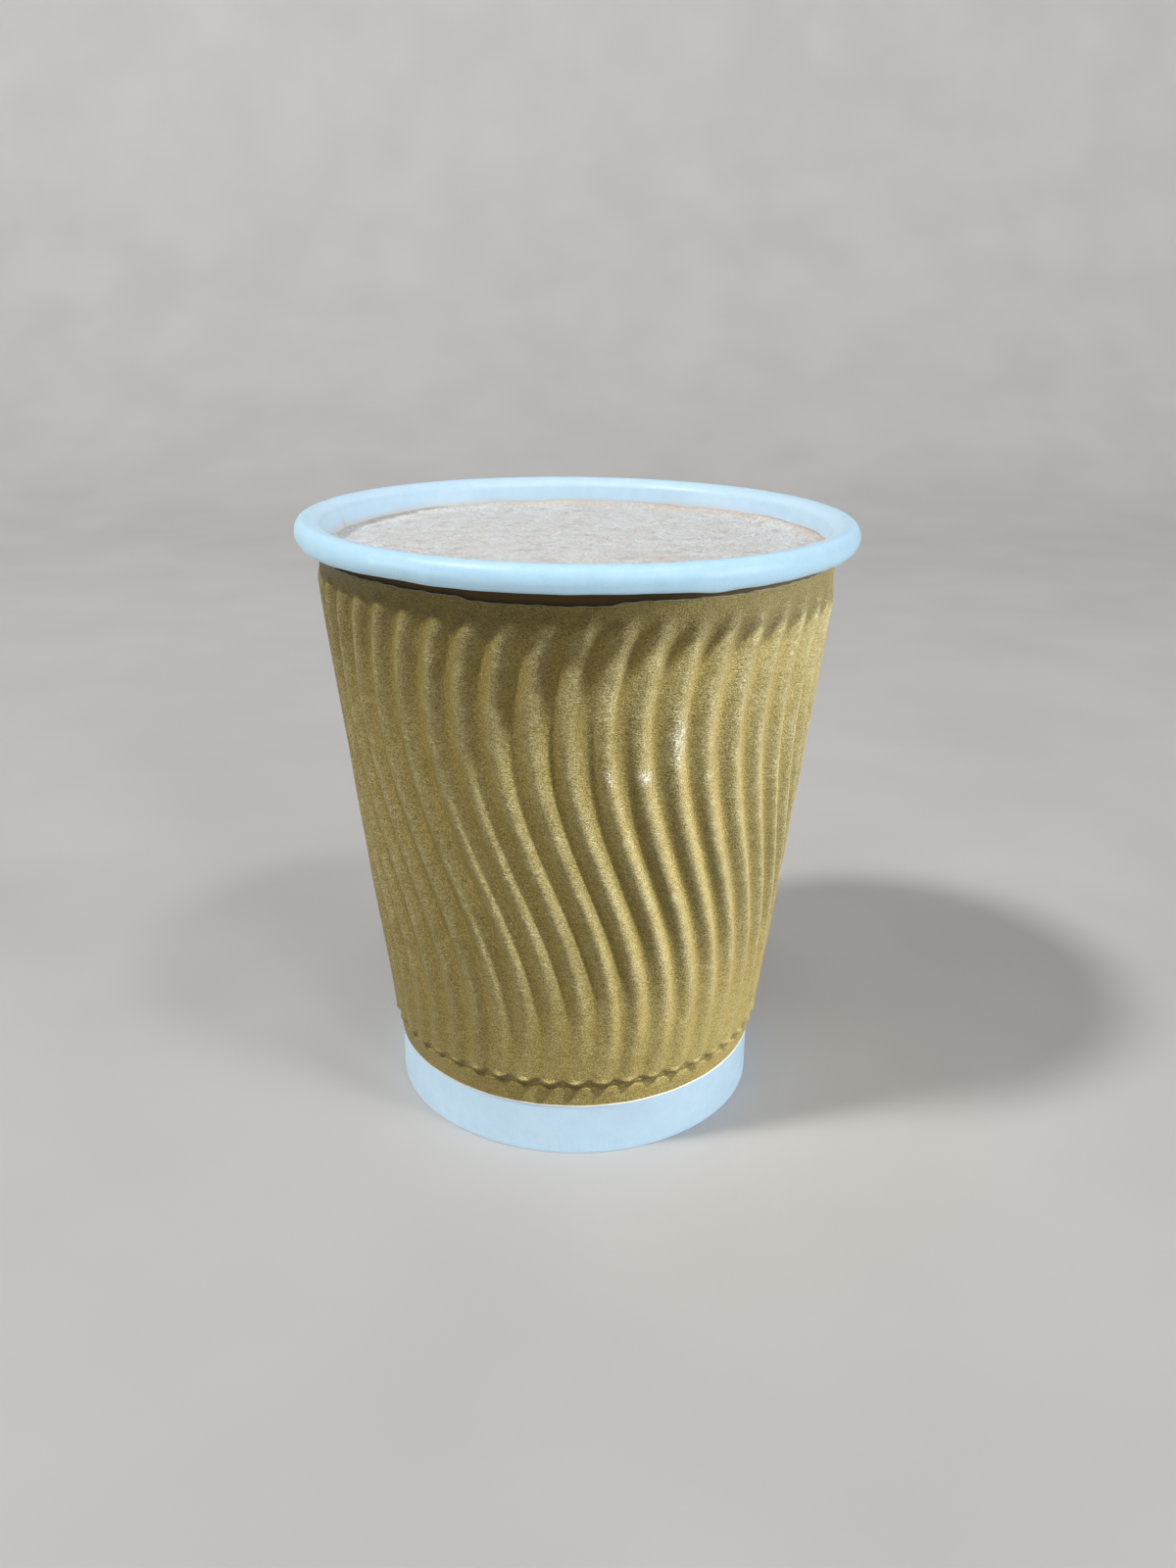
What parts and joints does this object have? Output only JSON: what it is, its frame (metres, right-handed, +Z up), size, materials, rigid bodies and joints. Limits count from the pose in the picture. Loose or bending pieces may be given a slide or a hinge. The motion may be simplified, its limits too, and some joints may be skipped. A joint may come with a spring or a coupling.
{
  "type": "paper cup of caffe mocha",
  "caption": "Takeaway paper cup with a rolled white rim and a gold ripple sleeve of wavy upright ribs, filled almost to the brim with a drink under pale milk froth.",
  "frame": {"origin": "centre of the ring that the cup stands on", "axes": "+Z up the cup's axis, -Y towards the side that faces the viewer"},
  "size_m": [0.08, 0.08, 0.0893],
  "materials": {
    "white_paper": "satin",
    "gold_card": "satin",
    "froth": "matte"
  },
  "bodies": {
    "root": {"cup_wall": "white_paper", "cup_bottom": "white_paper", "sleeve": "gold_card", "drink": "froth"}
  },
  "joints": []
}
